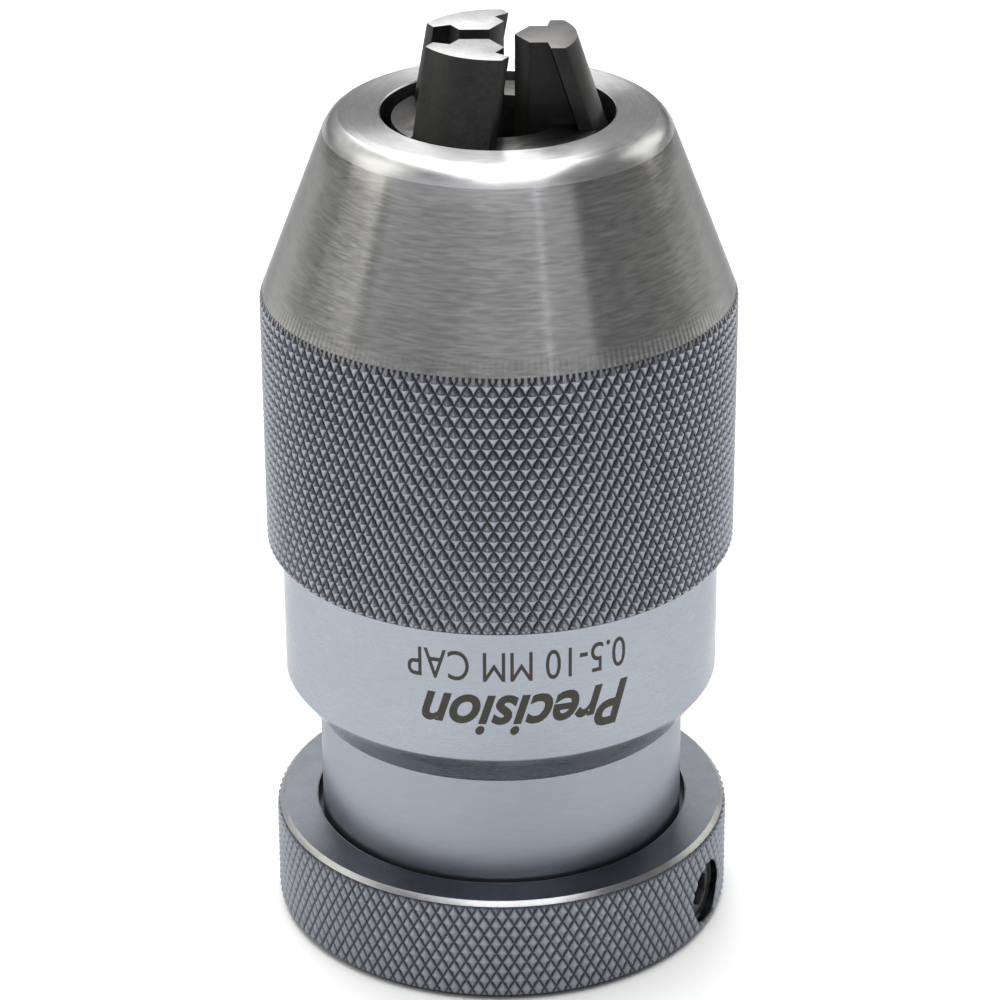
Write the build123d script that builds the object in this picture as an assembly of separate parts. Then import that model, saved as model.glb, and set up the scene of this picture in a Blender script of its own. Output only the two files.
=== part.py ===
from build123d import *
import math
import os

# Keyless precision drill chuck, millimetres.
# +Z points from the rear taper to the jaws. The origin is on the chuck's axis at the rear face,
# which the holding ring and the chuck body share.
# The hood turns on the body. It carries the spindle, whose left-hand thread screws through the body,
# so a turn of the hood moves the spindle along the axis and slides the jaws in the hood's cone.

# Holding ring and its set screw
RING_R = 21.4
RING_H = 10.2
RING_CHAMFER = 0.65
RING_FOOT_CHAMFER = 0.65
RING_RELIEF_R = 17.45
RING_RELIEF_DEPTH = 1.5
SCREW_ANGLE = -24.3
SCREW_Z = 3.8
SCREW_R = 2.95
SCREW_HOLE_R = 3.0
SCREW_LENGTH = 3.4
SCREW_HEX_AF = 3.0
SCREW_HEX_DEPTH = 1.7

# Chuck body
NECK_R = 17.0
TAPER_LARGE_R = 7.925
TAPER_SMALL_R = 7.1185
TAPER_LENGTH = 25.4
TAPER_RELIEF = 0.5
RACE_SEAT_R = 16.3
RACE_SEAT_Z = 26.2
FLANGE_R = 18.6
FLANGE_Z0 = 29.8
FLANGE_Z1 = 33.0
STEM_R = 12.5
BODY_TOP = 45.5
THREAD_BORE_R = 7.05
THREAD_BORE_Z0 = 27.9

# Ball bearing
BALL_COUNT = 20
BALL_R = 0.9
BALL_PITCH_R = 17.6
BALL_Z = 27.9
RACE_THICKNESS = 1.3
RACE_CLEARANCE = 0.03
CAGE_R0 = 16.4
CAGE_R1 = 18.75
CAGE_HALF_HEIGHT = 0.35

# Rear sleeve (smooth band)
BAND_R = 20.1
BAND_CONE_Z0 = 20.85
BAND_CONE_Z1 = 24.45
BAND_CONE_R0 = 17.5
BAND_TOP = 37.5
SLEEVE_BORE_R = 17.1
SLEEVE_SHOULDER_Z = 26.0
SLEEVE_CUP_R = 18.8
SPIGOT_R = 19.7
SPIGOT_TOP = 45.25

# Hood
HOOD_R = 21.5
HOOD_Z0 = 37.65
HOOD_EDGE = 0.3
KNURL_TOP = 61.4
NOSE_Z = 78.65
NOSE_EDGE_R = 15.5
NOSE_EDGE_Z = 77.05
NOSE_CORNER_R = 14.5
NOSE_ROUND = 2.4
OPENING_R = 10.4
HOOD_SKIRT_BORE_R = 19.75
GUIDE_SEAT_Z = 52.0
GUIDE_BORE_R = 17.1

# Jaw track: every jaw slides at this angle to the axis
JAW_TILT = 18.0
JAW_TOP = 85.5
JAW_OUTER_R_AT_TOP = 7.0
JAW_COUNT = 3
TILT_SLOPE = math.tan(math.radians(JAW_TILT))

# Jaws
JAW_TIP_R = 1.48
JAW_BLADE_HALF = 2.25
JAW_BODY_HALF = 3.8
JAW_STEP_INNER = 4.35
JAW_STEP_OUTER = 4.6
JAW_FACE_ANGLE = 60.0
JAW_BACK_CURVE_R = 7.3
JAW_RUNNING_GAP = 0.05
JAW_GRIP_Z0 = 70.0
JAW_TAIL_R0 = 6.2
JAW_TAIL_R1 = 13.23
JAW_TAIL_TOP = 66.0
JAW_BOTTOM = 57.85
JAW_FOOT_TOP = 60.1
JAW_WAIST_TOP = 62.7

# Jaw guide
GUIDE_TOP = 78.0
GUIDE_FACE_R = 9.4
GUIDE_NECK_Z = 72.2
GUIDE_WEB_Z0 = 66.7
GUIDE_INNER_R = 5.5
GUIDE_RING_R0 = 17.0
GUIDE_RING_R1 = 19.7
FINGER_R0 = 10.6
FINGER_HALF_ANGLE = 30.0
FINGER_Z0 = 46.5
PRESS_GAP = 0.01
SLOT_GAP = 0.06

# Spindle
SPINDLE_R = 7.0
SPINDLE_Z0 = 39.0
HEAD_R = 13.0
HEAD_Z0 = 56.6
HEAD_Z1 = 62.6
HEAD_SLOT_Z0 = 57.8
HEAD_LIP_Z0 = 60.15
HEAD_SLOT_R0 = 4.9
HEAD_NOTCH_R = 10.5
HEAD_NOTCH_HALF_ANGLE = 32.0


def revolved(points):
    """Solid of revolution about Z from a closed (radius, height) outline."""
    outline = Plane.XZ * make_face(Polyline(*points, close=True))
    return revolve(outline, Axis.Z)


def cylinder(radius, z0, z1):
    """Upright cylinder on the axis between two heights."""
    return Pos(0, 0, z0) * Cylinder(radius, z1 - z0, align=(Align.CENTER, Align.CENTER, Align.MIN))


def ring(r0, r1, z0, z1):
    """Upright ring on the axis between two radii and two heights."""
    return cylinder(r1, z0, z1) - cylinder(r0, z0 - 1, z1 + 1)


def block(x0, x1, half_width, z0, z1):
    """Box from x0 to x1, centred on the XZ plane, between two heights."""
    size = (x1 - x0, 2 * half_width, z1 - z0)
    centre = ((x0 + x1) / 2, 0, (z0 + z1) / 2)
    return Pos(*centre) * Box(*size)


def wedge(half_angle, radius, z0, z1):
    """Pie-shaped prism about +X that reaches at least the given radius."""
    reach = radius / math.cos(math.radians(half_angle))
    corner_x = reach * math.cos(math.radians(half_angle))
    corner_y = reach * math.sin(math.radians(half_angle))
    pie = make_face(Polyline((0, 0), (corner_x, -corner_y), (corner_x, corner_y), close=True))
    return extrude(Pos(0, 0, z0) * pie, z1 - z0)


def hood_cone_r(z):
    """Radius of the hood's inner cone at a height."""
    return JAW_OUTER_R_AT_TOP + (JAW_TOP - z) * TILT_SLOPE


def hood_cone_z(radius):
    """Height at which the hood's inner cone has a radius."""
    return JAW_TOP - (radius - JAW_OUTER_R_AT_TOP) / TILT_SLOPE


def single(shape):
    """The one solid of a shape, so that each node is stored as a plain solid."""
    solids = shape.solids()
    assert len(solids) == 1, f"expected one solid, found {len(solids)}"
    return solids[0]


def at_screw(shape):
    """Turn a shape built along +X to the set screw's place in the ring."""
    return Rot(0, 0, SCREW_ANGLE) * Pos(0, 0, SCREW_Z) * Rot(0, 90, 0) * shape


def holding_ring():
    """Knurled ring fixed on the rear of the body, with a tapped radial hole."""
    outline = [
        (NECK_R, 0),
        (RING_R - RING_FOOT_CHAMFER, 0),
        (RING_R, RING_FOOT_CHAMFER),
        (RING_R, RING_H - RING_CHAMFER),
        (RING_R - RING_CHAMFER, RING_H),
        (RING_RELIEF_R, RING_H),
        (RING_RELIEF_R, RING_H - RING_RELIEF_DEPTH),
        (NECK_R, RING_H - RING_RELIEF_DEPTH),
    ]
    tapped_hole = at_screw(cylinder(SCREW_HOLE_R, NECK_R - 2, RING_R + 2))
    return revolved(outline) - tapped_hole


def ring_set_screw():
    """Socket set screw that locks the ring on the neck."""
    screw_tip = NECK_R
    screw_end = NECK_R + SCREW_LENGTH
    shank = cylinder(SCREW_R, screw_tip, screw_end)
    shank = chamfer(shank.edges().group_by(Axis.Z)[-1], 0.35)
    socket = extrude(RegularPolygon(SCREW_HEX_AF / 2, 6, major_radius=False), SCREW_HEX_DEPTH + 1)
    return at_screw(shank - Pos(0, 0, screw_end - SCREW_HEX_DEPTH) * socket)


def body():
    """Chuck body: taper socket, neck, bearing flange and the nut for the spindle."""
    outline = [
        (0, TAPER_LENGTH + TAPER_RELIEF),
        (TAPER_SMALL_R, TAPER_LENGTH + TAPER_RELIEF),
        (TAPER_SMALL_R, TAPER_LENGTH),
        (TAPER_LARGE_R, 0),
        (NECK_R, 0),
        (NECK_R, RACE_SEAT_Z),
        (RACE_SEAT_R, RACE_SEAT_Z),
        (RACE_SEAT_R, FLANGE_Z0),
        (FLANGE_R, FLANGE_Z0),
        (FLANGE_R, FLANGE_Z1),
        (STEM_R, FLANGE_Z1),
        (STEM_R, BODY_TOP),
        (THREAD_BORE_R, BODY_TOP),
        (THREAD_BORE_R, THREAD_BORE_Z0),
        (0, THREAD_BORE_Z0),
    ]
    return revolved(outline)


def ball_groove():
    """Groove that the balls run in."""
    return Pos(0, 0, BALL_Z) * Torus(BALL_PITCH_R, BALL_R + RACE_CLEARANCE)


def race_lower():
    """Bearing washer that rests on the sleeve's shoulder."""
    z0 = SLEEVE_SHOULDER_Z
    return ring(SLEEVE_BORE_R + 0.05, SLEEVE_CUP_R - 0.03, z0, z0 + RACE_THICKNESS) - ball_groove()


def race_upper():
    """Bearing washer under the body's flange."""
    z1 = FLANGE_Z0
    return ring(RACE_SEAT_R + 0.03, FLANGE_R, z1 - RACE_THICKNESS, z1) - ball_groove()


def ball_place(index):
    """Place of one ball on the pitch circle."""
    return Rot(0, 0, 360 * index / BALL_COUNT) * Pos(BALL_PITCH_R, 0, BALL_Z)


def ball_cage():
    """Flat ring with one hole for each ball."""
    cage = ring(CAGE_R0, CAGE_R1, BALL_Z - CAGE_HALF_HEIGHT, BALL_Z + CAGE_HALF_HEIGHT)
    hole = Cylinder(BALL_R + RACE_CLEARANCE, 4 * CAGE_HALF_HEIGHT)
    for index in range(BALL_COUNT):
        cage -= ball_place(index) * hole
    return cage


def ball(index):
    """One bearing ball."""
    return ball_place(index) * Sphere(BALL_R)


def rear_sleeve():
    """Smooth band: it screws into the hood and holds the bearing."""
    outline = [
        (SLEEVE_BORE_R, BAND_CONE_Z0),
        (BAND_CONE_R0, BAND_CONE_Z0),
        (BAND_R, BAND_CONE_Z1),
        (BAND_R, BAND_TOP),
        (SPIGOT_R, BAND_TOP),
        (SPIGOT_R, SPIGOT_TOP),
        (SLEEVE_CUP_R, SPIGOT_TOP),
        (SLEEVE_CUP_R, SLEEVE_SHOULDER_Z),
        (SLEEVE_BORE_R, SLEEVE_SHOULDER_Z),
    ]
    return revolved(outline)


def hood():
    """Hood: knurled skirt, outer nose cone and the inner cone the jaws slide on."""
    outline = [
        (HOOD_SKIRT_BORE_R, HOOD_Z0),
        (HOOD_R - HOOD_EDGE, HOOD_Z0),
        (HOOD_R, HOOD_Z0 + HOOD_EDGE),
        (HOOD_R, KNURL_TOP),
        (NOSE_EDGE_R, NOSE_EDGE_Z),
        (NOSE_CORNER_R, NOSE_Z),
        (OPENING_R, NOSE_Z),
        (OPENING_R, hood_cone_z(OPENING_R)),
        (GUIDE_BORE_R, hood_cone_z(GUIDE_BORE_R)),
        (GUIDE_BORE_R, GUIDE_SEAT_Z),
        (HOOD_SKIRT_BORE_R, GUIDE_SEAT_Z),
    ]
    shell = revolved(outline)
    nose_edges = shell.edges().filter_by(GeomType.CIRCLE).filter_by(
        lambda edge: abs(edge.radius - NOSE_CORNER_R) < 0.01
    )
    return fillet(nose_edges, NOSE_ROUND)


def jaw_track(gap):
    """Tilted bar with the section of a jaw, enlarged on every side by a gap."""
    inward = 14.0
    foot = math.cos(math.radians(JAW_TILT))
    blade = JAW_BLADE_HALF + gap
    wide = JAW_BODY_HALF + gap
    step_0 = (JAW_STEP_INNER - gap) * foot
    step_1 = (JAW_STEP_OUTER - gap) * foot
    section = make_face(Polyline(
        (-inward, -blade), (step_0, -blade), (step_1, -wide), (12, -wide),
        (12, wide), (step_1, wide), (step_0, blade), (-inward, blade),
        close=True,
    ))
    along = Plane(
        origin=(0, 0, JAW_TOP),
        x_dir=(foot, 0, math.sin(math.radians(JAW_TILT))),
        z_dir=(math.sin(math.radians(JAW_TILT)), 0, -foot),
    )
    return extrude(along * section, 40, both=True)


def jaw_back(gap):
    """Tilted round bar that gives the jaw its curved back, clear of the hood's cone by a gap."""
    tilt = math.radians(JAW_TILT)
    back_at_top = (JAW_OUTER_R_AT_TOP - gap) * math.cos(tilt)
    along = Plane(
        origin=(0, 0, JAW_TOP),
        x_dir=(math.cos(tilt), 0, math.sin(tilt)),
        z_dir=(math.sin(tilt), 0, -math.cos(tilt)),
    )
    disc = Pos(back_at_top - JAW_BACK_CURVE_R, 0) * Circle(JAW_BACK_CURVE_R)
    return extrude(along * disc, 40, both=True)


def jaw_wedge():
    """Upright prism with the two closing faces, which meet at the tip."""
    half_width = JAW_BODY_HALF + 1
    run = half_width / math.tan(math.radians(JAW_FACE_ANGLE))
    plan = make_face(Polyline(
        (JAW_TIP_R, 0), (JAW_TIP_R + run, -half_width), (20, -half_width),
        (20, half_width), (JAW_TIP_R + run, half_width),
        close=True,
    ))
    return extrude(Pos(0, 0, JAW_BOTTOM) * plan, JAW_TOP - JAW_BOTTOM)


def jaw_relief():
    """Space cut from behind the gripping face, parallel to the jaw's slide."""
    drop = JAW_GRIP_Z0 - JAW_BOTTOM + 1
    profile = Plane.XZ * make_face(Polyline(
        (0, JAW_GRIP_Z0), (JAW_TIP_R, JAW_GRIP_Z0),
        (JAW_TIP_R + drop * TILT_SLOPE, JAW_GRIP_Z0 - drop), (0, JAW_GRIP_Z0 - drop),
        close=True,
    ))
    return extrude(profile, 10, both=True)


def jaw():
    """One jaw at polar angle zero: blade, stepped body, and a foot held by the spindle's head."""
    solid = jaw_track(0) & jaw_wedge() & jaw_back(JAW_RUNNING_GAP)
    solid = solid & cylinder(JAW_TAIL_R1, JAW_BOTTOM - 1, JAW_TOP + 1)
    solid -= jaw_relief()
    solid -= block(-1, JAW_TAIL_R0, JAW_BODY_HALF + 1, JAW_BOTTOM - 1, JAW_TAIL_TOP)
    waist = block(0, 20, 10, JAW_FOOT_TOP, JAW_WAIST_TOP)
    waist -= block(-1, 21, JAW_BLADE_HALF, JAW_FOOT_TOP - 1, JAW_WAIST_TOP + 1)
    return solid - waist


def around(shape, index):
    """Turn a shape to the place of one jaw."""
    return Rot(0, 0, 360 * index / JAW_COUNT) * shape


def jaw_guide():
    """Guide inside the hood: slotted cone, three fingers and the ring that the sleeve clamps."""
    outline = [
        (GUIDE_INNER_R, GUIDE_WEB_Z0),
        (FINGER_R0, GUIDE_WEB_Z0),
        (FINGER_R0, FINGER_Z0),
        (GUIDE_RING_R0, FINGER_Z0),
        (GUIDE_RING_R0, SPIGOT_TOP),
        (GUIDE_RING_R1, SPIGOT_TOP),
        (GUIDE_RING_R1, GUIDE_SEAT_Z),
        (GUIDE_BORE_R - PRESS_GAP, GUIDE_SEAT_Z),
        (GUIDE_BORE_R - PRESS_GAP, hood_cone_z(GUIDE_BORE_R)),
        (hood_cone_r(GUIDE_NECK_Z) - PRESS_GAP, GUIDE_NECK_Z),
        (GUIDE_FACE_R, GUIDE_NECK_Z),
        (GUIDE_FACE_R, GUIDE_TOP),
        (GUIDE_INNER_R, GUIDE_TOP),
    ]
    guide = revolved(outline)
    window_half_angle = 180 / JAW_COUNT - FINGER_HALF_ANGLE
    room = wedge(window_half_angle, 25, GUIDE_SEAT_Z, GUIDE_WEB_Z0)
    room_in_ring = wedge(window_half_angle, 25, SPIGOT_TOP - 1, GUIDE_SEAT_Z)
    room_in_ring = room_in_ring & cylinder(GUIDE_RING_R0, SPIGOT_TOP - 1, GUIDE_SEAT_Z)
    track = jaw_track(SLOT_GAP) & block(0, 20, 10, GUIDE_WEB_Z0 - 0.5, GUIDE_TOP + 1)
    for index in range(JAW_COUNT):
        guide -= around(room, index)
        guide -= around(room_in_ring, index)
        guide -= around(track, index)
    return guide


def spindle():
    """Spindle: threaded shank, and a head with three T-slots for the feet of the jaws."""
    shank = cylinder(SPINDLE_R, SPINDLE_Z0, HEAD_Z0 + 1)
    shank = chamfer(shank.edges().group_by(Axis.Z)[0], 0.8)
    head = cylinder(HEAD_R, HEAD_Z0, HEAD_Z1)
    wide_slot = block(HEAD_SLOT_R0, 20, JAW_BODY_HALF + SLOT_GAP, HEAD_SLOT_Z0, HEAD_LIP_Z0)
    neck_slot = block(HEAD_SLOT_R0, 20, JAW_BLADE_HALF + SLOT_GAP, HEAD_SLOT_Z0, HEAD_Z1 + 1)
    notch = wedge(HEAD_NOTCH_HALF_ANGLE, 20, HEAD_Z0 - 1, HEAD_Z1 + 1)
    notch -= cylinder(HEAD_NOTCH_R, HEAD_Z0 - 2, HEAD_Z1 + 2)
    for index in range(JAW_COUNT):
        head -= around(wide_slot, index)
        head -= around(neck_slot, index)
        head -= around(Rot(0, 0, 60) * notch, index)
    return shank + head


def build_nodes():
    """Every node of the assembly by name."""
    nodes = {
        "body": body(),
        "holding_ring": holding_ring(),
        "ring_set_screw": ring_set_screw(),
        "race_upper": race_upper(),
        "race_lower": race_lower(),
        "ball_cage": ball_cage(),
        "rear_sleeve": rear_sleeve(),
        "hood": hood(),
        "jaw_guide": jaw_guide(),
        "spindle": spindle(),
    }
    for index in range(BALL_COUNT):
        nodes[f"ball_{index + 1:02d}"] = ball(index)
    one_jaw = jaw()
    for index in range(JAW_COUNT):
        nodes[f"jaw_{index + 1}"] = around(one_jaw, index)
    return nodes


os.makedirs("parts", exist_ok=True)
for name, shape in build_nodes().items():
    export_step(single(shape), f"parts/{name}.step")
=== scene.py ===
import math

import bmesh
import bpy
import numpy as np
from mathutils import Matrix, Vector


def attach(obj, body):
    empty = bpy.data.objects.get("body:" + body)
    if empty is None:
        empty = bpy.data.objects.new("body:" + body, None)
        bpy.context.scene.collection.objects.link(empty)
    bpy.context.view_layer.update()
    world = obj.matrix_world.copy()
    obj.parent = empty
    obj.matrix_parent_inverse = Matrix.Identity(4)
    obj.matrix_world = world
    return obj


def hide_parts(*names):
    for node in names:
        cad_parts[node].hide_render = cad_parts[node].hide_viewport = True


MM = 0.001

# Hood, millimetres
HOOD_R = 21.5
HOOD_Z0 = 37.65
HOOD_EDGE = 0.3
KNURL_TOP = 61.4
NOSE_Z = 78.65
NOSE_EDGE_R = 15.5
NOSE_EDGE_Z = 77.05
NOSE_CORNER_R = 14.5
NOSE_ROUND = 2.4
OPENING_R = 10.4
CONE_SLOPE = (HOOD_R - NOSE_EDGE_R) / (NOSE_EDGE_Z - KNURL_TOP)
SKIRT_BORE_R = 19.75
GUIDE_SEAT_Z = 52.0
HOOD_BORE_R = 17.1
JAW_TOP = 85.5
JAW_BACK_R = 7.0
JAW_TILT = math.radians(18.0)

# Rear sleeve
BAND_R = 20.1
BAND_CONE_Z0 = 20.85
BAND_CONE_Z1 = 24.45
BAND_CONE_R0 = 17.5
BAND_TOP = 37.5
SLEEVE_BORE_R = 17.1
SLEEVE_SHOULDER_Z = 26.0
SLEEVE_CUP_R = 18.8
SPIGOT_R = 19.7
SPIGOT_TOP = 45.25

# Body
NECK_R = 17.0
TAPER_LARGE_R = 7.925
TAPER_SMALL_R = 7.1185
TAPER_END_Z = 25.4
TAPER_FLOOR_Z = 25.9
RACE_SEAT_R = 16.3
RACE_SEAT_Z = 26.2
FLANGE_R = 18.6
FLANGE_Z0 = 29.8
FLANGE_Z1 = 33.0
STEM_R = 12.5
BODY_TOP = 45.5
NUT_R = 7.05
NUT_FLOOR_Z = 27.9

# Holding ring and its set screw hole
RING_R = 21.4
RING_H = 10.2
RING_CHAMFER = 0.65
RING_FOOT_CHAMFER = 0.65
RING_RELIEF_R = 17.45
RING_RELIEF_DEPTH = 1.5
SCREW_ANGLE = math.radians(-24.3)
SCREW_Z = 3.8
SCREW_HOLE_R = 3.0
SCREW_PITCH = 1.0
SCREW_GROOVE = 0.3

# Diamond knurl
KNURL_LINES = 120
KNURL_LEAD = 1.95
KNURL_STEPS = 8
KNURL_DEPTH = 0.27
KNURL_FLAT = 0.14
# Share of the colour taken out at the knurl's groove floors: painted shade
GROOVE_PAINTED_SHADE = 0.85
KNURL_RUNOUT = 0.05
KNURL_SHARP_ANGLE = 22.0

# Small chamfers and breaks at turned edges, which catch the light
RIM_BREAK = 0.12
NECK_CHAMFER = 0.3
SOCKET_CHAMFER = 0.25
CHAMFER_STEP = 0.15

# Meshing: columns round the axis, angles in degrees, lengths in millimetres
LATHE_COLUMNS = 360
CUTTER_COLUMNS = 64
AXIS_R = 0.02
SHARP_ANGLE = 30.0
BEVEL_ANGLE = 28.0
BEVEL_SHARP_ANGLE = 35.0
MARK_HEIGHT = 0.015
MARK_STEP = 0.5

# The jaw whose ground end is a darker copy of the ground steel: painted shade, as that end catches less light
SHADED_END_JAW = 1

# Camera: metres, and the lens in millimetres
CAMERA_PLACE = (0.0, -0.313164, 0.191091)
CAMERA_DIP = math.radians(25.67)
CAMERA_ROLL = math.radians(-0.3)
CAMERA_LENS = 135.853

# Studio: metres, and colours of the panels
PANEL_TARGET = (0.0, 0.0, 0.05)
NEUTRAL = (1.0, 1.0, 1.0)
WARM = (1.0, 0.99, 0.91)
COOL = (0.93, 0.94, 1.0)
WORLD_STRENGTH = 0.18
FLOOR_SIZE = 6.0
FLOOR_DROP = 0.0002
FLOOR_WHITE = 0.94

# Grain of the metals: noise scales per metre, and the height of the bumps in millimetres
TURNED_FINE = 1000.0
TURNED_BROAD = 500.0
CLOUDS = 120.0
MOTTLE_FINE = 2400.0
MOTTLE_BROAD = 400.0
BUMP_HEIGHT = 0.02
PROFILE_SLANT = 1.37

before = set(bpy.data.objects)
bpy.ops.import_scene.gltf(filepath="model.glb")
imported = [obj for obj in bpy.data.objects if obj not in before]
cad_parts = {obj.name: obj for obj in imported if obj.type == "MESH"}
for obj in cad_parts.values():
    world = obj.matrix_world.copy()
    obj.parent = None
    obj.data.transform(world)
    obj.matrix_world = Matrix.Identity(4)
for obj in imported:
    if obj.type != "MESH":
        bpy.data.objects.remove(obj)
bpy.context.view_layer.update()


# ---------------------------------------------------------------- meshes

def mesh_piece(name, vertices, faces, sharp_angle=SHARP_ANGLE):
    """Object from vertices in millimetres, smooth except across edges sharper than the angle."""
    mesh = bpy.data.meshes.new(name)
    mesh.from_pydata((np.asarray(vertices, dtype=float) * MM).tolist(), [], faces)
    mesh.validate()
    mesh.polygons.foreach_set("use_smooth", [True] * len(mesh.polygons))
    mesh.set_sharp_from_angle(angle=math.radians(sharp_angle))
    piece = bpy.data.objects.new(name, mesh)
    bpy.context.scene.collection.objects.link(piece)
    return piece


def ring_of_rows(rows, columns, radius_at=None):
    """Vertices of a closed grid: one row for each (radius, height), one column for each angle."""
    theta = np.arange(columns) * 2 * math.pi / columns
    grid = np.zeros((len(rows), columns, 3))
    for index, (radius, height) in enumerate(rows):
        radii = np.full(columns, radius)
        if radius_at is not None:
            radii = np.minimum(radii, radius_at(theta, height))
        grid[index, :, 0] = radii * np.cos(theta)
        grid[index, :, 1] = radii * np.sin(theta)
        grid[index, :, 2] = height
    return grid


def grid_faces(row_count, columns, first_row=0):
    """Quads from one row of a grid to its end; the last row joins the first one."""
    faces = []
    for row in range(first_row, row_count):
        low = row * columns
        high = (row + 1) % row_count * columns
        for column in range(columns):
            after = (column + 1) % columns
            faces.append((low + column, low + after, high + after, high + column))
    return faces


def lathe(name, profile, columns=LATHE_COLUMNS):
    """Surface of revolution from a closed (radius, height) outline, counter-clockwise seen from -Y."""
    grid = ring_of_rows(profile, columns)
    return mesh_piece(name, grid.reshape(-1, 3), grid_faces(len(profile), columns))


def knurl_radius(outer, depth):
    """Function that gives the radius of a diamond knurl at an array of angles and a height."""
    def radius_at(theta, height):
        around = theta * KNURL_LINES / (2 * math.pi)
        up = height / KNURL_LEAD
        first = np.abs((around + up + 0.5) % 1.0 - 0.5) * 2
        second = np.abs((around - up + 0.5) % 1.0 - 0.5) * 2
        rise = np.minimum(np.minimum(first, second) / (1 - KNURL_FLAT), 1.0)
        return outer - depth * (1 - rise)
    return radius_at


def arc(centre, radius, start, end, steps):
    """Points of an arc in the (radius, height) plane, angles in degrees from the outward axis."""
    points = []
    for step in range(steps + 1):
        angle = math.radians(start + (end - start) * step / steps)
        points.append((centre[0] + radius * math.cos(angle), centre[1] + radius * math.sin(angle)))
    return points


def triangulated_knurl(grid, row_count, columns):
    """Triangles of the first rows, split along each quad's lower diagonal so grooves stay straight."""
    radii = np.hypot(grid[:, :, 0], grid[:, :, 1])
    faces = []
    for row in range(row_count - 1):
        low = row * columns
        high = (row + 1) * columns
        for column in range(columns):
            after = (column + 1) % columns
            a, b = low + column, low + after
            c, d = high + after, high + column
            rising = radii[row, column] + radii[row + 1, after]
            falling = radii[row, after] + radii[row + 1, column]
            if rising < falling:
                faces += [(a, b, c), (a, c, d)]
            else:
                faces += [(a, b, d), (b, c, d)]
    return faces


def knurled_lathe(name, knurl_rows, rest, outer, depth):
    """Closed lathe whose first rows are knurled and whose other rows are plain."""
    columns = KNURL_LINES * KNURL_STEPS
    knurled = ring_of_rows(knurl_rows, columns, knurl_radius(outer, depth))
    plain = ring_of_rows(rest, columns)
    grid = np.concatenate([knurled, plain])
    faces = triangulated_knurl(grid, len(knurl_rows), columns)
    faces += grid_faces(len(grid), columns, len(knurl_rows) - 1)
    return mesh_piece(name, grid.reshape(-1, 3), faces, sharp_angle=KNURL_SHARP_ANGLE)


def knurl_heights(z0, z1):
    """Row heights that fall on the knurl's own steps, with the two ends added."""
    step = KNURL_LEAD / KNURL_STEPS
    inner = np.arange(math.ceil(z0 / step + 0.3), math.floor(z1 / step - 0.3) + 1) * step
    return [z0] + inner.tolist() + [z1]


def hood_cone_r(z):
    """Radius of the hood's inner cone."""
    return JAW_BACK_R + (JAW_TOP - z) * math.tan(JAW_TILT)


def hood_cone_z(radius):
    """Height at which the hood's inner cone has a radius."""
    return JAW_TOP - (radius - JAW_BACK_R) / math.tan(JAW_TILT)


def hood_outer_r(z):
    """Radius of the hood's skirt and nose cone, with the small chamfer at its foot."""
    cone = HOOD_R - (z - KNURL_TOP) * CONE_SLOPE
    foot = HOOD_R - HOOD_EDGE + (z - HOOD_Z0)
    return min(HOOD_R, cone, foot)


def nose_edge():
    """Outline of the steep band at the cone's end and the rounding up to the flat nose face."""
    lean = math.degrees(math.atan2(NOSE_EDGE_R - NOSE_CORNER_R, NOSE_Z - NOSE_EDGE_Z))
    tangent = NOSE_ROUND * math.tan(math.radians((90 - lean) / 2))
    centre = (NOSE_CORNER_R - tangent, NOSE_Z - NOSE_ROUND)
    return [(NOSE_EDGE_R, NOSE_EDGE_Z)] + arc(centre, NOSE_ROUND, lean, 90, 16)


def make_hood():
    """Hood with its diamond knurl, nose cone, nose edge and bores."""
    knurl_end = KNURL_TOP + KNURL_DEPTH / CONE_SLOPE + KNURL_RUNOUT
    knurl_rows = [(hood_outer_r(z), z) for z in knurl_heights(HOOD_Z0, knurl_end)]
    rest = []
    for step in range(1, 8):
        z = knurl_end + (NOSE_EDGE_Z - knurl_end) * step / 8
        rest.append((hood_outer_r(z), z))
    rest += nose_edge()
    flat_start = rest[-1][0]
    rest += [(flat_start + (OPENING_R - flat_start) * step / 4, NOSE_Z) for step in (1, 2, 3)]
    rest += [(OPENING_R + RIM_BREAK, NOSE_Z), (OPENING_R, NOSE_Z - 0.1)]
    opening_foot = hood_cone_z(OPENING_R)
    cone_foot = hood_cone_z(HOOD_BORE_R)
    for step in range(7):
        z = opening_foot + (cone_foot - opening_foot) * step / 6
        rest.append((hood_cone_r(z), z))
    rest += [(HOOD_BORE_R, GUIDE_SEAT_Z), (SKIRT_BORE_R, GUIDE_SEAT_Z), (SKIRT_BORE_R, HOOD_Z0)]
    return knurled_lathe("hood_shell", knurl_rows, rest, HOOD_R, KNURL_DEPTH)


def make_sleeve():
    """Smooth band with its dark rear cone, spigot and bearing cup."""
    profile = [
        (SLEEVE_BORE_R, BAND_CONE_Z0 + 0.1),
        (SLEEVE_BORE_R + 0.1, BAND_CONE_Z0),
        (BAND_CONE_R0 - 0.05, BAND_CONE_Z0),
        (BAND_CONE_R0, BAND_CONE_Z0 + 0.03),
        (BAND_R - 0.1, BAND_CONE_Z1 - RIM_BREAK),
        (BAND_R - 0.03, BAND_CONE_Z1),
        (BAND_R, BAND_CONE_Z1 + RIM_BREAK),
        (BAND_R, (BAND_CONE_Z1 + BAND_TOP) / 2),
        (BAND_R, BAND_TOP - RIM_BREAK),
        (BAND_R - RIM_BREAK, BAND_TOP),
        (SPIGOT_R, BAND_TOP),
        (SPIGOT_R, SPIGOT_TOP),
        (SLEEVE_CUP_R, SPIGOT_TOP),
        (SLEEVE_CUP_R, SLEEVE_SHOULDER_Z),
        (SLEEVE_BORE_R, SLEEVE_SHOULDER_Z),
    ]
    return lathe("sleeve_band", profile)


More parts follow.
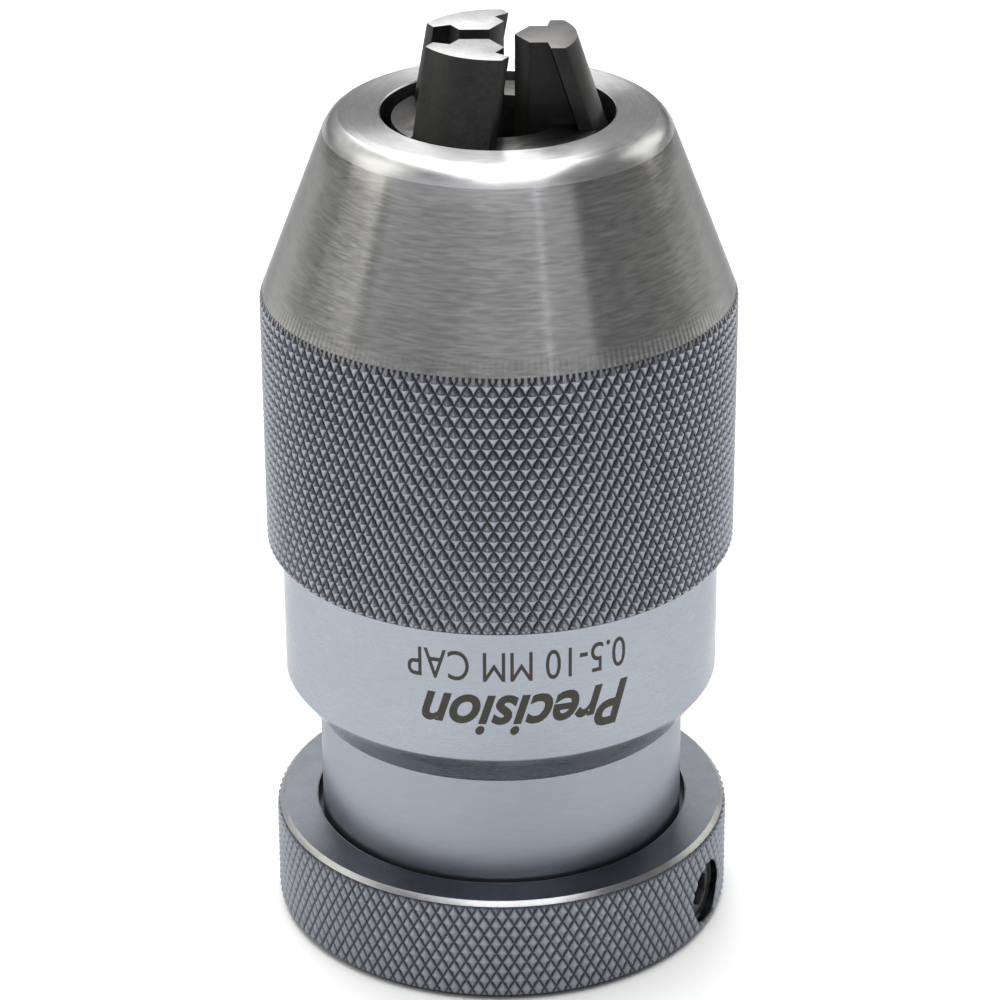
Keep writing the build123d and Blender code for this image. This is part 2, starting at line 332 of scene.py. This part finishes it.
def make_body():
    """Chuck body: neck, bearing flange, nut and taper socket."""
    profile = [
        (NECK_R - NECK_CHAMFER, 0.0),
        (NECK_R, NECK_CHAMFER),
        (NECK_R, 8.0),
        (NECK_R, 16.0),
        (NECK_R, RACE_SEAT_Z),
        (RACE_SEAT_R, RACE_SEAT_Z),
        (RACE_SEAT_R, FLANGE_Z0),
        (FLANGE_R, FLANGE_Z0),
        (FLANGE_R, FLANGE_Z1),
        (STEM_R, FLANGE_Z1),
        (STEM_R, BODY_TOP),
        (NUT_R, BODY_TOP),
        (NUT_R, NUT_FLOOR_Z),
        (AXIS_R, NUT_FLOOR_Z),
        (AXIS_R, TAPER_FLOOR_Z),
        (TAPER_SMALL_R, TAPER_FLOOR_Z),
        (TAPER_SMALL_R, TAPER_END_Z),
        (TAPER_LARGE_R, SOCKET_CHAMFER),
        (TAPER_LARGE_R + SOCKET_CHAMFER, 0.0),
    ]
    return lathe("body_neck", profile)


def make_ring():
    """Holding ring with its knurl, bright top chamfer and the tapped hole."""
    chamfer_z = RING_H - RING_CHAMFER
    knurl_end = chamfer_z + KNURL_DEPTH
    knurl_rows = []
    for z in knurl_heights(0.0, knurl_end):
        foot = RING_R - RING_FOOT_CHAMFER + z
        head = RING_R - (z - chamfer_z)
        knurl_rows.append((min(RING_R, foot, head), z))
    rest = [
        (RING_R - KNURL_DEPTH - CHAMFER_STEP, knurl_end + CHAMFER_STEP),
        (RING_R - RING_CHAMFER, RING_H - 0.03),
        (RING_R - RING_CHAMFER - 0.06, RING_H),
        (RING_RELIEF_R + 0.15, RING_H),
        (RING_RELIEF_R + 0.03, RING_H - 0.05),
        (RING_RELIEF_R, RING_H - 0.2),
        (RING_RELIEF_R, RING_H - RING_RELIEF_DEPTH),
        (NECK_R, RING_H - RING_RELIEF_DEPTH),
        (NECK_R, 0.0),
    ]
    ring = knurled_lathe("ring_blank", knurl_rows, rest, RING_R, KNURL_DEPTH)
    return cut(ring, screw_hole_cutter(), "ring_knurled")


def screw_hole_cutter():
    """Bar with the profile of the tapped hole: countersunk mouth and V-shaped thread grooves."""
    axis_r = 0.01
    inner_end = NECK_R - 1.0
    outer_end = RING_R + 2
    groove_r = SCREW_HOLE_R + SCREW_GROOVE
    profile = [(axis_r, inner_end)]
    r = inner_end
    while r < RING_R - 1.0:
        profile += [(SCREW_HOLE_R - 0.02, r), (groove_r, r + SCREW_PITCH / 2)]
        r += SCREW_PITCH
    profile += [(SCREW_HOLE_R, RING_R - 0.9), (SCREW_HOLE_R, RING_R - 0.35)]
    profile += [(groove_r, RING_R), (groove_r, outer_end), (axis_r, outer_end)]
    bar = lathe("hole_cutter", profile, columns=CUTTER_COLUMNS)
    turn = Matrix.Rotation(SCREW_ANGLE, 4, "Z") @ Matrix.Translation((0, 0, SCREW_Z * MM))
    bar.data.transform(turn @ Matrix.Rotation(math.pi / 2, 4, "Y"))
    return bar


def cut(solid, cutter, name):
    """New object: the solid with the cutter's volume taken away."""
    modifier = solid.modifiers.new("hole", "BOOLEAN")
    modifier.operation = "DIFFERENCE"
    modifier.solver = "EXACT"
    modifier.object = cutter
    bpy.context.view_layer.update()
    evaluated = solid.evaluated_get(bpy.context.evaluated_depsgraph_get())
    mesh = bpy.data.meshes.new_from_object(evaluated)
    mesh.set_sharp_from_angle(angle=math.radians(KNURL_SHARP_ANGLE))
    result = bpy.data.objects.new(name, mesh)
    bpy.context.scene.collection.objects.link(result)
    bpy.data.objects.remove(solid)
    bpy.data.objects.remove(cutter)
    return result


def bevelled_copy(node_name, piece_name, width):
    """Copy of a CAD node with its sharp edges rounded by a small bevel."""
    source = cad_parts[node_name]
    mesh = source.data.copy()
    bm = bmesh.new()
    bm.from_mesh(mesh)
    bmesh.ops.remove_doubles(bm, verts=bm.verts, dist=0.002 * MM)
    bmesh.ops.dissolve_limit(bm, angle_limit=math.radians(1.0), verts=bm.verts, edges=bm.edges)
    sharp = []
    for edge in bm.edges:
        if edge.is_manifold and edge.calc_face_angle(0.0) > math.radians(BEVEL_ANGLE):
            sharp.append(edge)
    bmesh.ops.bevel(
        bm, geom=sharp, offset=width * MM, segments=2, profile=0.5,
        affect="EDGES", clamp_overlap=True,
    )
    bm.to_mesh(mesh)
    bm.free()
    mesh.name = piece_name
    mesh.polygons.foreach_set("use_smooth", [True] * len(mesh.polygons))
    mesh.set_sharp_from_angle(angle=math.radians(BEVEL_SHARP_ANGLE))
    piece = bpy.data.objects.new(piece_name, mesh)
    bpy.context.scene.collection.objects.link(piece)
    return piece


def wrapped_text(name, body, size, width, shear, weight, arc_start, foot_z):
    """Flat text wrapped on the band. It reads with the nose down, as the real mark does."""
    curve = bpy.data.curves.new(name, "FONT")
    curve.body = body
    curve.size = size * MM
    curve.shear = shear
    curve.offset = weight * MM
    curve.resolution_u = 5
    flat = bpy.data.objects.new(name + "_flat", curve)
    bpy.context.scene.collection.objects.link(flat)
    bpy.context.view_layer.update()
    evaluated = flat.evaluated_get(bpy.context.evaluated_depsgraph_get())
    mesh = bpy.data.meshes.new_from_object(evaluated)
    bpy.data.objects.remove(flat)
    bm = bmesh.new()
    bm.from_mesh(mesh)
    bmesh.ops.triangulate(bm, faces=bm.faces)
    for _ in range(3):
        long_edges = [edge for edge in bm.edges if edge.calc_length() > MARK_STEP * MM]
        bmesh.ops.subdivide_edges(bm, edges=long_edges, cuts=1)
        bmesh.ops.triangulate(bm, faces=bm.faces)
    left = min(vertex.co.x for vertex in bm.verts)
    right = max(vertex.co.x for vertex in bm.verts)
    radius = (BAND_R + MARK_HEIGHT) * MM
    for vertex in bm.verts:
        along = (vertex.co.x - left) / (right - left) * width
        angle = -math.pi / 2 + (arc_start - along) / BAND_R
        height = foot_z * MM - vertex.co.y
        vertex.co = Vector((radius * math.cos(angle), radius * math.sin(angle), height))
    bm.to_mesh(mesh)
    bm.free()
    piece = bpy.data.objects.new(name, mesh)
    bpy.context.scene.collection.objects.link(piece)
    return piece


# ---------------------------------------------------------------- materials

class Shader:
    """Small helper that adds and links the nodes of one material."""

    def __init__(self, name):
        self.material = bpy.data.materials.new(name)
        self.material.use_nodes = True
        self.tree = self.material.node_tree
        self.bsdf = self.tree.nodes["Principled BSDF"]
        self.coords = self.node("ShaderNodeTexCoord").outputs["Object"]

    def node(self, kind, **settings):
        made = self.tree.nodes.new(kind)
        for key, value in settings.items():
            setattr(made, key, value)
        return made

    def link(self, source, target):
        self.tree.links.new(source, target)

    def math(self, operation, first, second):
        """Result of a math node whose inputs are numbers or other nodes' outputs."""
        made = self.node("ShaderNodeMath", operation=operation)
        for socket, value in zip(made.inputs, (first, second)):
            if isinstance(value, (int, float)):
                socket.default_value = value
            else:
                self.link(value, socket)
        return made.outputs[0]

    def noise(self, vector, scale, detail, roughness=0.6):
        made = self.node("ShaderNodeTexNoise")
        made.inputs["Scale"].default_value = scale
        made.inputs["Detail"].default_value = detail
        made.inputs["Roughness"].default_value = roughness
        self.link(vector, made.inputs["Vector"])
        return made.outputs["Fac"]

    def mix_noises(self, first, second, share):
        """Sum of two noises, with the first one's share."""
        return self.math("ADD", self.math("MULTIPLY", first, share), self.math("MULTIPLY", second, 1 - share))

    def remap(self, value, low, high, from_low=0.3, from_high=0.7):
        """Value carried from one range to the range low to high, and held within it."""
        made = self.node("ShaderNodeMapRange")
        self.link(value, made.inputs["Value"])
        made.inputs["From Min"].default_value = from_low
        made.inputs["From Max"].default_value = from_high
        made.inputs["To Min"].default_value = low
        made.inputs["To Max"].default_value = high
        return made.outputs["Result"]

    def blend(self, factor, first, second):
        """Colour between two colours."""
        made = self.node("ShaderNodeMix", data_type="RGBA")
        self.link(factor, made.inputs["Factor"])
        for socket, value in ((made.inputs[6], first), (made.inputs[7], second)):
            if isinstance(value, tuple):
                socket.default_value = (*value, 1.0)
            else:
                self.link(value, socket)
        return made.outputs[2]

    def bump(self, height, strength):
        made = self.node("ShaderNodeBump")
        made.inputs["Strength"].default_value = strength
        made.inputs["Distance"].default_value = BUMP_HEIGHT * MM
        self.link(height, made.inputs["Height"])
        self.link(made.outputs["Normal"], self.bsdf.inputs["Normal"])

    def cylindrical(self):
        """Object coordinates x, y, z and the distance from the axis."""
        split = self.node("ShaderNodeSeparateXYZ")
        self.link(self.coords, split.inputs[0])
        x, y, z = split.outputs
        square = self.math("ADD", self.math("MULTIPLY", x, x), self.math("MULTIPLY", y, y))
        return x, y, z, self.math("SQRT", square, 0.0)

    def turned_coords(self, across, along):
        """Coordinates that stretch a noise round the axis, as turning or brushing marks run."""
        x, y, z, radius = self.cylindrical()
        profile = self.math("ADD", radius, self.math("MULTIPLY", z, PROFILE_SLANT))
        joined = self.node("ShaderNodeCombineXYZ")
        self.link(self.math("MULTIPLY", x, across), joined.inputs[0])
        self.link(self.math("MULTIPLY", y, across), joined.inputs[1])
        self.link(self.math("MULTIPLY", profile, along), joined.inputs[2])
        return joined.outputs[0]


def turned_steel(name, colour, shade, roughness, spread, anisotropy, marks=1.0, bump=0.25, edge=0.73):
    """Turned or brushed steel: marks run round the axis and the highlight spreads across them.

    The lower the edge value, the darker the steel where it is seen at a grazing angle.
    """
    shader = Shader(name)
    bsdf = shader.bsdf
    bsdf.inputs["Metallic"].default_value = 1.0
    bsdf.inputs["Anisotropic"].default_value = anisotropy
    bsdf.inputs["Anisotropic Rotation"].default_value = 0.25
    bsdf.inputs["Specular Tint"].default_value = (0.99 * edge, edge, 1.02 * edge, 1.0)
    tangent = shader.node("ShaderNodeTangent", direction_type="RADIAL", axis="Z")
    shader.link(tangent.outputs[0], bsdf.inputs["Tangent"])
    fine = shader.noise(shader.turned_coords(across=0.6, along=4.5), TURNED_FINE, detail=2.0)
    broad = shader.noise(shader.turned_coords(across=0.5, along=3.0), TURNED_BROAD, detail=3.0)
    cloudy = shader.noise(shader.coords, CLOUDS, detail=4.0)
    mixed = shader.mix_noises(fine, broad, 0.8)
    factor = shader.remap(mixed, 0.5 - 0.5 * marks, 0.5 + 0.5 * marks)
    shader.link(shader.blend(factor, shade, colour), bsdf.inputs["Base Color"])
    both = shader.math("ADD", mixed, cloudy)
    rough = shader.remap(both, roughness - spread, roughness + spread, 0.7, 1.3)
    shader.link(rough, bsdf.inputs["Roughness"])
    shader.bump(fine, bump)
    return shader.material


def mottle(shader, colour, shade, roughness, spread):
    """Fine mottling in roughness and height, without a direction. Gives back the mottled colour."""
    fine = shader.noise(shader.coords, MOTTLE_FINE, detail=4.0, roughness=0.7)
    broad = shader.noise(shader.coords, MOTTLE_BROAD, detail=4.0)
    mixed = shader.mix_noises(fine, broad, 0.5)
    rough = shader.remap(mixed, roughness - spread, roughness + spread)
    shader.link(rough, shader.bsdf.inputs["Roughness"])
    shader.bump(fine, 0.2)
    return shader.blend(shader.remap(mixed, 0.0, 1.0), shade, colour)


def plain_metal(name, colour, shade, roughness, spread, metallic=1.0):
    """Mottled metal. Less metallic is oxide or ink on it."""
    shader = Shader(name)
    shader.bsdf.inputs["Metallic"].default_value = metallic
    mottled = mottle(shader, colour, shade, roughness, spread)
    shader.link(mottled, shader.bsdf.inputs["Base Color"])
    return shader.material


def knurled_metal(name, colour, shade, roughness, spread, outer):
    """Mottled steel, darkened by painted shade in the grooves between tips that reach the outer radius."""
    shader = Shader(name)
    shader.bsdf.inputs["Metallic"].default_value = 1.0
    mottled = mottle(shader, colour, shade, roughness, spread)
    # Painted shade: the colour grows darker from half the knurl depth down to the groove floor.
    radius = shader.cylindrical()[3]
    groove = (outer - KNURL_DEPTH) * MM
    light = shader.remap(radius, 1.0 - GROOVE_PAINTED_SHADE, 1.0, groove, groove + 0.5 * KNURL_DEPTH * MM)
    shaded = shader.node("ShaderNodeVectorMath", operation="SCALE")
    shader.link(mottled, shaded.inputs[0])
    shader.link(light, shaded.inputs["Scale"])
    shader.link(shaded.outputs[0], shader.bsdf.inputs["Base Color"])
    return shader.material


def floor_material():
    """Matt white without a highlight."""
    shader = Shader("floor_white")
    shader.bsdf.inputs["Base Color"].default_value = (FLOOR_WHITE, FLOOR_WHITE, FLOOR_WHITE, 1.0)
    shader.bsdf.inputs["Roughness"].default_value = 0.9
    shader.bsdf.inputs["Specular IOR Level"].default_value = 0.0
    return shader.material


MATERIALS = {
    "cone": turned_steel(
        "hood_cone_steel", (0.485, 0.482, 0.476), (0.34, 0.337, 0.333),
        roughness=0.23, spread=0.03, anisotropy=0.86, bump=0.06, edge=0.35,
    ),
    "nose": turned_steel(
        "nose_face_steel", (0.5, 0.5, 0.505), (0.38, 0.38, 0.385),
        roughness=0.34, spread=0.05, anisotropy=0.93,
    ),
    # Lighter copy of the nose steel for the rounding: partly a polished edge, partly a painted highlight that
    # widens the bright crescent there.
    "nose_edge": turned_steel(
        "nose_edge_polish_and_highlight", (0.62, 0.62, 0.625), (0.52, 0.52, 0.525),
        roughness=0.3, spread=0.04, anisotropy=0.6, edge=0.5,
    ),
    "knurl": knurled_metal(
        "knurl_steel", (0.31, 0.325, 0.365), (0.22, 0.232, 0.265),
        roughness=0.24, spread=0.05, outer=HOOD_R,
    ),
    "band": turned_steel(
        "band_steel", (0.335, 0.361, 0.405), (0.275, 0.297, 0.336),
        roughness=0.28, spread=0.05, anisotropy=0.5, marks=0.6, bump=0.12,
    ),
    "neck": turned_steel(
        "neck_steel", (0.305, 0.331, 0.375), (0.26, 0.283, 0.323),
        roughness=0.37, spread=0.02, anisotropy=0.4, marks=0.6, bump=0.03,
    ),
    "ring": knurled_metal(
        "ring_steel", (0.28, 0.298, 0.335), (0.2, 0.215, 0.245),
        roughness=0.3, spread=0.05, outer=RING_R,
    ),
    "ring_face": plain_metal(
        "ring_face_steel", (0.18, 0.192, 0.215), (0.12, 0.128, 0.144),
        roughness=0.36, spread=0.06,
    ),
    "jaw_black": plain_metal(
        "jaw_black_oxide", (0.03, 0.029, 0.028), (0.009, 0.009, 0.009),
        roughness=0.4, spread=0.1, metallic=0.5,
    ),
    "jaw_ground": plain_metal(
        "jaw_ground_end", (0.53, 0.53, 0.53), (0.3, 0.3, 0.3), roughness=0.55, spread=0.1,
    ),
    # Darker copy of the ground end steel for one jaw: painted shade.
    "jaw_ground_painted_shade": plain_metal(
        "jaw_ground_painted_shade", (0.18, 0.177, 0.174), (0.11, 0.109, 0.107), roughness=0.5, spread=0.1,
    ),
    "guide": turned_steel(
        "guide_steel", (0.12, 0.114, 0.108), (0.075, 0.072, 0.068),
        roughness=0.36, spread=0.06, anisotropy=0.5,
    ),
    "screw": plain_metal(
        "screw_black_oxide", (0.02, 0.02, 0.022), (0.01, 0.01, 0.011),
        roughness=0.4, spread=0.08, metallic=0.5,
    ),
    "spindle": turned_steel(
        "spindle_steel", (0.3, 0.3, 0.31), (0.2, 0.2, 0.21), roughness=0.35, spread=0.06, anisotropy=0.4,
    ),
    "race": turned_steel(
        "race_steel", (0.55, 0.55, 0.57), (0.45, 0.45, 0.47), roughness=0.2, spread=0.04, anisotropy=0.3,
    ),
    "ball": plain_metal(
        "ball_steel", (0.65, 0.65, 0.67), (0.6, 0.6, 0.62), roughness=0.12, spread=0.03,
    ),
    "cage": turned_steel(
        "cage_brass", (0.6, 0.42, 0.18), (0.5, 0.34, 0.14), roughness=0.3, spread=0.05, anisotropy=0.3,
    ),
    "mark": plain_metal(
        "etched_mark", (0.045, 0.038, 0.028), (0.025, 0.022, 0.018),
        roughness=0.5, spread=0.1, metallic=0.3,
    ),
}


def paint(piece, *names):
    """Give a piece its materials."""
    piece.data.materials.clear()
    for name in names:
        piece.data.materials.append(MATERIALS[name])


def place(piece, body, slot, *nodes):
    """Put a piece on the body it rides on and hide the CAD nodes it stands for. The slot is not used."""
    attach(piece, body)
    if nodes:
        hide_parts(*nodes)


# ---------------------------------------------------------------- build

def paint_faces(piece, name_at, *names):
    """Give a piece several materials. name_at picks one from a face's centre in millimetres and normal."""
    paint(piece, *names)
    for polygon in piece.data.polygons:
        name = name_at(polygon.center / MM, polygon.normal)
        polygon.material_index = names.index(name)


def hood_material(centre, normal):
    """Material of a face of the hood."""
    radius = math.hypot(centre.x, centre.y)
    # Groove ends that run on into the cone keep the knurl steel, and with it the painted groove shade.
    in_groove = radius < hood_outer_r(centre.z) - 0.02
    if radius > HOOD_R - KNURL_DEPTH - 0.15 and (centre.z < KNURL_TOP or in_groove):
        return "knurl"
    if centre.z < NOSE_EDGE_Z or radius < OPENING_R + 0.02:
        return "cone"
    # The rounding gets the lighter nose edge steel: partly polish, partly painted highlight.
    return "nose" if normal.z > 0.94 else "nose_edge"


def ring_material(centre, normal):
    """Material of a face of the holding ring. Its top chamfer is as bright as the nose."""
    if normal.z > 0.95 and centre.z > RING_H - 0.05:
        return "ring_face"
    on_chamfer = centre.z > RING_H - RING_CHAMFER + KNURL_DEPTH - 0.02 and normal.z > 0.3
    return "nose" if on_chamfer else "ring"


def build_hood():
    """Hood with its knurl, cone and nose."""
    hood = make_hood()
    paint_faces(hood, hood_material, "cone", "knurl", "nose", "nose_edge")
    place(hood, "hood_group", "hood", "hood")


def build_sleeve():
    """Rear sleeve with the two etched marks on its band."""
    sleeve = make_sleeve()
    paint(sleeve, "band")
    place(sleeve, "hood_group", "sleeve", "rear_sleeve")
    small = wrapped_text(
        "mark_capacity", "0.5-10 MM CAP",
        size=4.2, width=20.2, shear=0.0, weight=0.0, arc_start=11.7, foot_z=35.3,
    )
    large = wrapped_text(
        "mark_precision", "Precision",
        size=5.8, width=19.2, shear=0.35, weight=0.14, arc_start=12.0, foot_z=30.9,
    )
    for mark in (small, large):
        paint(mark, "mark")
        place(mark, "hood_group", "sleeve")


def build_root():
    """Body, holding ring and set screw, which stay still."""
    body = make_body()
    paint(body, "neck")
    place(body, "chuck_body", "body", "body")
    ring = make_ring()
    paint_faces(ring, ring_material, "ring", "ring_face", "nose")
    place(ring, "chuck_body", "ring", "holding_ring")
    screw = bevelled_copy("ring_set_screw", "set_screw", 0.08)
    paint(screw, "screw")
    place(screw, "chuck_body", "set_screw", "ring_set_screw")


def build_jaws():
    """Black jaws with ground ends."""
    for index in (1, 2, 3):
        jaw = bevelled_copy(f"jaw_{index}", f"jaw_piece_{index}", 0.07)
        # One jaw's end gets the darker copy of the ground steel: painted shade.
        end = "jaw_ground_painted_shade" if index == SHADED_END_JAW else "jaw_ground"
        paint(jaw, "jaw_black", end)
        for polygon in jaw.data.polygons:
            polygon.material_index = int(polygon.center.z > (JAW_TOP - 0.05) * MM)
        place(jaw, f"jaw_{index}_group", "jaws", f"jaw_{index}")


def build_inner():
    """Jaw guide, and materials for the hidden parts, which keep their CAD meshes."""
    guide = bevelled_copy("jaw_guide", "guide_piece", 0.06)
    paint(guide, "guide")
    place(guide, "hood_group", "jaw_guide", "jaw_guide")
    looks = {"spindle": "spindle", "race_upper": "race", "race_lower": "race", "ball_cage": "cage"}
    for name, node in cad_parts.items():
        if name in looks:
            paint(node, looks[name])
        elif name.startswith("ball_"):
            paint(node, "ball")


def add_camera():
    """Long lens in front of the chuck, looking down on it."""
    data = bpy.data.cameras.new("camera")
    data.sensor_width = 36.0
    data.lens = CAMERA_LENS
    data.clip_start = 0.01
    camera = bpy.data.objects.new("camera", data)
    dip = Matrix.Rotation(math.pi / 2 - CAMERA_DIP, 4, "X")
    roll = Matrix.Rotation(CAMERA_ROLL, 4, "Z")
    camera.matrix_world = Matrix.Translation(CAMERA_PLACE) @ dip @ roll
    bpy.context.scene.collection.objects.link(camera)
    bpy.context.scene.camera = camera


def add_floor():
    """White floor just under the chuck, kept out of the model."""
    bpy.ops.mesh.primitive_plane_add(size=FLOOR_SIZE, location=(0, 0, -FLOOR_DROP))
    floor = bpy.context.object
    floor.name = "floor"
    floor.data.materials.append(floor_material())


def add_panel(name, place_at, width, height, radiance, colour=NEUTRAL):
    """Soft panel that faces the chuck, with its brightness given as a radiance."""
    data = bpy.data.lights.new(name, "AREA")
    data.shape = "RECTANGLE"
    data.size = width
    data.size_y = height
    data.energy = radiance * math.pi * width * height
    data.color = colour
    lamp = bpy.data.objects.new(name, data)
    lamp.location = place_at
    aim = Vector(PANEL_TARGET) - Vector(place_at)
    lamp.rotation_euler = aim.to_track_quat("-Z", "Y").to_euler()
    bpy.context.scene.collection.objects.link(lamp)


def add_world():
    """Even dim light from all round."""
    world = bpy.data.worlds.new("studio")
    bpy.context.scene.world = world
    world.use_nodes = True
    background = world.node_tree.nodes["Background"]
    background.inputs["Color"].default_value = (1.0, 1.0, 1.0, 1.0)
    background.inputs["Strength"].default_value = WORLD_STRENGTH


def add_lights():
    """Panels round the chuck: one long one over it, the others low at the back, sides and front."""
    add_panel("overhead", (-0.03, 0.15, 0.9), width=0.7, height=1.9, radiance=4.2)
    add_panel("back_panel", (0.1, 1.3, 0.55), width=2.4, height=0.6, radiance=0.35)
    add_panel("left_panel", (-1.1, 0.05, 0.75), width=0.72, height=0.8, radiance=1.8, colour=WARM)
    add_panel("left_back_panel", (-1.1, 0.85, 0.75), width=0.8, height=0.8, radiance=0.7, colour=WARM)
    add_panel("right_panel", (1.1, 0.8, 0.75), width=0.9, height=0.8, radiance=1.4, colour=WARM)
    add_panel("front_panel", (-0.24, -1.2, 0.85), width=4.1, height=0.6, radiance=0.62, colour=COOL)
    add_panel("front_strip", (0.5, -1.1, 0.7), width=0.025, height=0.8, radiance=1.6, colour=COOL)


add_camera()
build_hood()
build_sleeve()
build_root()
build_jaws()
build_inner()
add_floor()
add_world()
add_lights()
bpy.context.scene.view_settings.view_transform = "Standard"
